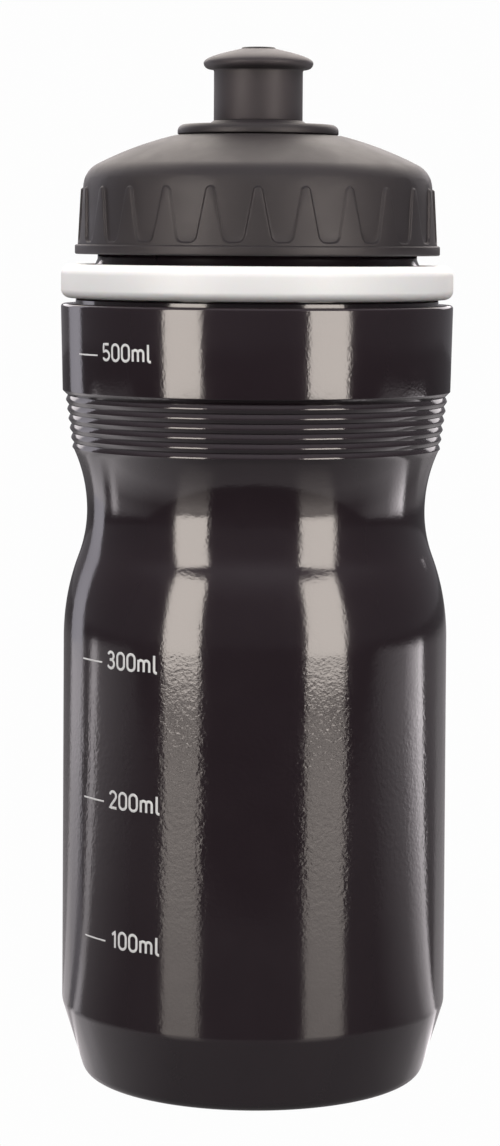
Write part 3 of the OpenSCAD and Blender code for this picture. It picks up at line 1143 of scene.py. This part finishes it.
@dataclass(frozen=True)
class Studio:
    """A pale studio: softboxes, a white surround, a polished table and the camera."""

    eye_distance: float = 620.0
    eye_z: float = 160.5
    eye_x: float = -1.3
    pitch: float = 1.907
    roll: float = 0.35
    lens: float = 101.7
    shift_y: float = -0.2
    surround: float = 0.985
    ambient: float = 1.0
    # Each of these four is a range of what is looked at and the range that it is taken to.
    back_glow: tuple[float, ...] = (-0.1, 0.85, 0.15, 0.22)  # mirrored surround, by y, to the back
    top_glow: tuple[float, ...] = (0.3, 0.75, 0.0, 0.5)  # what is added to it, by z, upwards
    # Ranges of the paper's painted glow: light on it, painted as an emission that reflections see.
    painted_glow_near: tuple[float, ...] = (0.08, 0.5, 0.35, 1.0)  # paper, by metres from the axis
    painted_glow_end: tuple[float, ...] = (0.75, 1.1, 1.0, 0.0)
    steep_view: tuple[float, float] = (0.26, 0.46)  # upward share of a low and of a steep view
    table_size: float = 6000.0
    table_drop: float = 0.2  # of the table under the base, so that their faces don't meet
    # Front edge of the paper's painted glow, then its greatest strength.
    painted_glow_front: float = -200.0  # front edge of the white paper that the bottle stands on
    painted_glow_brightest: float = 6.0
    # Painted glow of the lit paper, seen only in reflections, as a share of the brightest, by
    # direction from the bottle in degrees from the front towards the right: seen at a low angle,
    # and looked down on.
    painted_glow_low: tuple[Point, ...] = (
        (-142.0, 0.01), (-139.0, 0.17), (-123.0, 0.22), (-120.0, 0.02), (-113.5, 0.04),
        (-111.5, 0.5), (-107.5, 0.5), (-104.0, 0.12), (-70.0, 0.03), (70.0, 0.03),
        (98.0, 0.2), (109.0, 0.6), (115.5, 1.0), (118.0, 0.04),
    )
    painted_glow_steep: tuple[Point, ...] = (
        (-130.0, 0.2), (-107.0, 0.55), (-94.0, 0.42), (-72.0, 0.28), (-30.0, 0.14),
        (50.0, 0.14), (78.0, 0.2), (100.0, 0.34), (114.0, 0.6), (117.0, 0.12),
    )

    def build(self) -> None:
        """Builds the whole studio."""
        self._camera()
        self._world()
        self._table()
        for panel in self._panels():
            panel.build()
        bpy.context.scene.view_settings.view_transform = "Standard"

    def _panels(self) -> list[Panel]:
        """The light panels."""
        softbox = (10.3, 10.3)
        return [
            Panel("left_softbox", -42.7, 600, 237, 8, 422, softbox, colour="#fff5ec"),
            Panel("right_softbox", 41.5, 600, 257, 8, 422, softbox, colour="#fff5ec"),
            Panel("left_back", -132.0, 700, 225, 0, 700, (0.9, 2.0), colour="#f8f4ff"),
            Panel("back_wall", 180.0, 1500, 2600, 330, 1500, (2.4, 2.4), colour="#fff8fb"),
            Panel("top_back", 180.0, 420, 900, 330, 900, (3.4, 3.4), Reach.BOTH, tilt=-50),
            Panel("front_fill", 0.0, 350, 900, 420, 900, (3.6, 3.6), Reach.SOFT, "#ffffff"),
        ]

    def _camera(self) -> None:
        """Stands the camera in front, a little above the middle of the bottle."""
        data = bpy.data.cameras.new("camera")
        data.lens = self.lens
        data.shift_y = self.shift_y
        data.clip_start = 0.01
        camera = link_object("camera", data)
        camera.location = Vector((self.eye_x, -self.eye_distance, self.eye_z)) * MM
        level = Matrix.Rotation(math.radians(90 - self.pitch), 4, "X")
        lean = Matrix.Rotation(math.radians(self.roll), 4, "Z")
        camera.rotation_euler = (level @ lean).to_euler()
        bpy.context.scene.camera = camera

    def _world(self) -> None:
        """Makes the surround: white to the camera, even for soft lighting, dim in reflections."""
        world = bpy.data.worlds.new("studio")
        bpy.context.scene.world = world
        world.use_nodes = True
        tree = world.node_tree
        tree.nodes.clear()
        ray = add_node(tree, "LightPath").outputs
        way = add_node(tree, "TexCoord").outputs["Generated"]
        axes = add_node(tree, "SeparateXYZ", None, {"Vector": way}).outputs
        smooth = {"interpolation_type": "SMOOTHSTEP"}
        back = add_node(tree, "MapRange", smooth | span(*self.back_glow), {"Value": axes["Y"]})
        top = add_node(tree, "MapRange", smooth | span(*self.top_glow), {"Value": axes["Z"]})
        total = add_node(tree, "Math", {"operation": "ADD"}, {0: back, 1: top})
        mirrored = add_node(tree, "Background", {"Color": srgb("#fdf8ff")}, {"Strength": total})
        soft = add_node(tree, "Background", {"Color": srgb("#fdfcff"), "Strength": self.ambient})
        seen = add_node(tree, "Background", {"Color": WHITE, "Strength": self.surround})
        lit = add_node(tree, "MixShader", None, {0: ray["Is Diffuse Ray"], 1: mirrored, 2: soft})
        shown = add_node(tree, "MixShader", None, {0: ray["Is Camera Ray"], 1: lit, 2: seen})
        add_node(tree, "OutputWorld", None, {"Surface": shown})

    def _table(self) -> None:
        """Lays the table under the bottle."""
        bm = bmesh.new()
        bmesh.ops.create_grid(bm, x_segments=1, y_segments=1, size=self.table_size / 2 * MM)
        table = mesh_object("table", bm, self._table_surface())
        table.location = (0, 0, -self.table_drop * MM)

    def _table_surface(self) -> Material:
        """Makes the table's surface: pale to look at, and in reflections polished, under a painted glow
        of lit paper that only glossy rays see.
        """
        material, tree = new_tree("polished_table_painted_glow")
        ray = add_node(tree, "LightPath").outputs
        pale = add_node(tree, "Emission", {"Color": WHITE, "Strength": self.surround})
        finish = {"Base Color": srgb("#2e2d2d"), "Roughness": 0.22, "IOR": 1.36}
        polished = add_node(tree, "BsdfPrincipled", finish)
        strength = self._painted_paper_glow(tree)
        # Painted reflection: the lit paper is an emission that only glossy rays see, and no lamp.
        paper = add_node(tree, "Emission", {"Color": srgb("#fff8fb")}, {"Strength": strength})
        mirrored = add_node(tree, "AddShader", None, {0: polished, 1: paper})
        glossy = {0: ray["Is Glossy Ray"], 1: polished, 2: mirrored}
        unseen = add_node(tree, "MixShader", None, glossy)
        shown = add_node(tree, "MixShader", None, {0: ray["Is Camera Ray"], 1: unseen, 2: pale})
        add_node(tree, "OutputMaterial", None, {"Surface": shown})
        return material

    def _painted_paper_glow(self, tree: Tree) -> Node:
        """Adds the painted glow of lit paper round the bottle, which stands in for light on the paper.
        """
        times = {"operation": "MULTIPLY"}
        place = add_node(tree, "TexCoord").outputs["Object"]
        axes = add_node(tree, "SeparateXYZ", None, {"Vector": place}).outputs
        ahead = add_node(tree, "Math", {**times, 1: -1.0}, {0: axes["Y"]})
        angle = add_node(tree, "Math", {"operation": "ARCTAN2"}, {0: axes["X"], 1: ahead})
        turn = add_node(tree, "MapRange", span(-math.pi, math.pi), {"Value": angle})
        view = add_node(tree, "NewGeometry").outputs["Incoming"]
        rise = add_node(tree, "SeparateXYZ", None, {"Vector": view}).outputs["Z"]
        steep = add_node(tree, "MapRange", span(*self.steep_view), {"Value": rise})
        low_glow = self._direction_ramp(tree, turn, self.painted_glow_low)
        steep_glow = self._direction_ramp(tree, turn, self.painted_glow_steep)
        glow = add_node(tree, "Mix", {"data_type": "FLOAT"}, {0: steep, 2: low_glow, 3: steep_glow})
        front = {"operation": "GREATER_THAN", 1: self.painted_glow_front * MM}
        behind_front = add_node(tree, "Math", front, {0: axes["Y"]})
        share = add_node(tree, "Math", times, {0: glow, 1: behind_front})
        reach = add_node(tree, "VectorMath", {"operation": "LENGTH"}, {0: place}).outputs["Value"]
        outward = add_node(tree, "MapRange", span(*self.painted_glow_near), {"Value": reach})
        end = add_node(tree, "MapRange", span(*self.painted_glow_end), {"Value": reach})
        far = add_node(tree, "Math", times, {0: outward, 1: end})
        near = add_node(tree, "Math", times, {0: share, 1: far})
        return add_node(tree, "Math", {**times, 1: self.painted_glow_brightest}, {0: near})

    def _direction_ramp(self, tree: Tree, turn: Node, shares: tuple[Point, ...]) -> Node:
        """Adds a ramp of brightness over the direction, which goes 0 to 1 from back to back."""
        ramp = add_node(tree, "ValToRGB", None, {"Fac": turn})
        stops = ramp.color_ramp.elements
        while len(stops) < len(shares):
            stops.new(0.5)
        for stop, (direction, share) in zip(stops, shares):
            stop.position = direction / 360 + 0.5
            stop.color = (share, share, share, 1)
        return ramp


def main() -> None:
    """Loads the frame and builds the bottle and the studio round it."""
    logging.basicConfig(level=logging.INFO, format="%(name)s %(message)s")
    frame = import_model()
    Studio().build()
    Bottle().build()
    VolumeMarks().build()
    NeckBand().build()
    ScrewCap().build()
    Spout().build()
    InnerFittings().dress(frame["nodes"])


if __name__ == "__main__":
    main()
